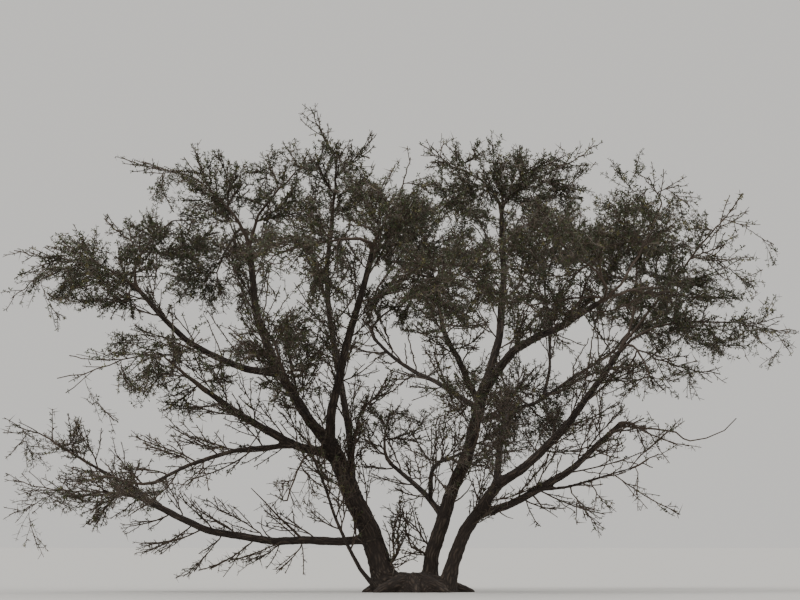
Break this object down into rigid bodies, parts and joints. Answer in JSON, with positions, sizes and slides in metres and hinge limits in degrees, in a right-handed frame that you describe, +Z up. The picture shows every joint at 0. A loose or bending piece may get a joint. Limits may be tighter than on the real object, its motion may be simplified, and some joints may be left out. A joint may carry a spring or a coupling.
{
  "type": "acacia tree",
  "caption": "Wide flat-topped thorny acacia of several stems: low flared trunk, curved tapering boughs and open masses of twigs with small leaves, cut flat at ground level.",
  "frame": {"origin": "middle of the flat cut under the trunk, at ground level", "axes": "+Z up, +X to the right of the tree's broad side as pictured, -Y towards the viewer"},
  "size_m": [7.88, 5.4204, 4.93],
  "materials": {
    "bark": "rough grey-brown fissured bark of an acacia",
    "foliage": "open twigs with pale thorns and small dull green feathery leaves"
  },
  "bodies": {
    "root": {"trunk": "bark", "stem_west": "bark", "stem_middle": "bark", "stem_east": "bark", "stem_thin": "bark", "bough_low_west": "bark", "bough_low_west_upper": "bark", "bough_mid_west": "bark", "bough_mid_west_arch": "bark", "bough_high_west": "bark", "bough_far_west": "bark", "bough_inner_west": "bark", "bough_centre_west": "bark", "bough_leader": "bark", "bough_inner_fork": "bark", "bough_inner_cross": "bark", "bough_centre_front": "bark", "bough_centre_back": "bark", "bough_centre_top": "bark", "bough_high_east": "bark", "bough_far_east": "bark", "bough_inner_east": "bark", "bough_back_east": "bark", "bough_back_riser": "bark", "bough_low_east": "bark", "bough_low_east_outer": "bark", "foliage_low_west_upper": "foliage", "foliage_low_west_fan": "foliage", "foliage_mid_west": "foliage", "foliage_mid_west_arch": "foliage", "foliage_far_west": "foliage", "foliage_far_west_top": "foliage", "foliage_high_west": "foliage", "foliage_high_west_back": "foliage", "foliage_high_west_top": "foliage", "foliage_inner_west": "foliage", "foliage_front_west": "foliage", "foliage_leader": "foliage", "foliage_centre_west": "foliage", "foliage_centre_back": "foliage", "foliage_centre_low": "foliage", "foliage_centre_front": "foliage", "foliage_centre_top": "foliage", "foliage_centre_top_east": "foliage", "foliage_front_east": "foliage", "foliage_under_high": "foliage", "foliage_high_east": "foliage", "foliage_high_east_low": "foliage", "foliage_back_riser": "foliage", "foliage_far_east_top": "foliage", "foliage_far_east": "foliage", "foliage_shelf_east": "foliage", "foliage_under_east": "foliage", "foliage_back_east": "foliage", "foliage_low_east": "foliage", "foliage_low_east_outer": "foliage", "foliage_inner_fork": "foliage", "foliage_inner_cross": "foliage", "foliage_inner_east": "foliage", "foliage_thin_stem": "foliage"}
  },
  "joints": []
}
